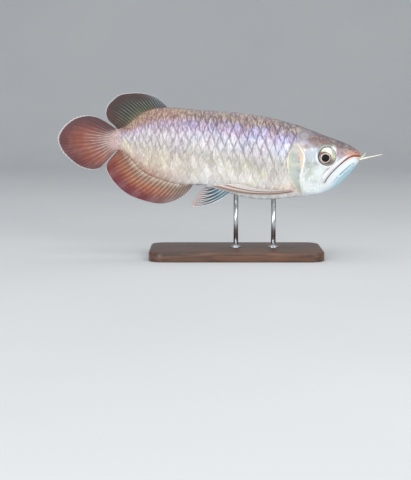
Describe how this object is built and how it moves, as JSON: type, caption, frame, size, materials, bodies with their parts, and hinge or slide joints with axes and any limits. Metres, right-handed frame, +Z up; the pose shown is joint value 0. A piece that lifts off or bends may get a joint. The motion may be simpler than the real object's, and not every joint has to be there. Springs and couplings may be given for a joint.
{
  "type": "asian arowana model on a stand",
  "caption": "Life-size still model of an Asian arowana: a long, deep bony-tongued fish with large scales, swimming level on two short rods above a flat base.",
  "frame": {"origin": "centre of the stand's underside, on the surface that the stand rests on", "axes": "+X the way the fish swims, from tail to snout; +Y the fish's left side; +Z up"},
  "size_m": [0.4113, 0.104, 0.2088],
  "materials": {
    "skin": "scaled skin, silver with lavender, cream and rose, glossy as if wet",
    "cheek": "smooth silvery bone plates of the head, glossy",
    "fin": "brick red fin membrane with paler rays and a thin white edge",
    "dorsal": "olive-brown fin membrane with paler rays and a thin white edge",
    "paired": "half clear salmon and bluish-white fin membrane",
    "eye": "polished eye: dark pupil, pink-beige ring and silver-green upper iris",
    "barbel": "soft cream feeler",
    "wood": "dark satin-varnished hardwood",
    "steel": "fine brushed steel rod"
  },
  "bodies": {
    "root": {"head": "cheek", "lower_jaw": "cheek", "trunk": "skin", "tail": "skin", "dorsal_fin": "dorsal", "anal_fin": "fin", "caudal_fin": "fin", "gill_cover_right": "cheek", "gill_cover_left": "cheek", "eye_right": "eye", "eye_left": "eye", "pectoral_fin_right": "paired", "pectoral_fin_left": "paired", "pelvic_fin_right": "paired", "pelvic_fin_left": "paired", "barbel_right": "barbel", "barbel_left": "barbel", "stand_rod_front": "steel", "stand_rod_rear": "steel", "stand_base": "wood"}
  },
  "joints": []
}
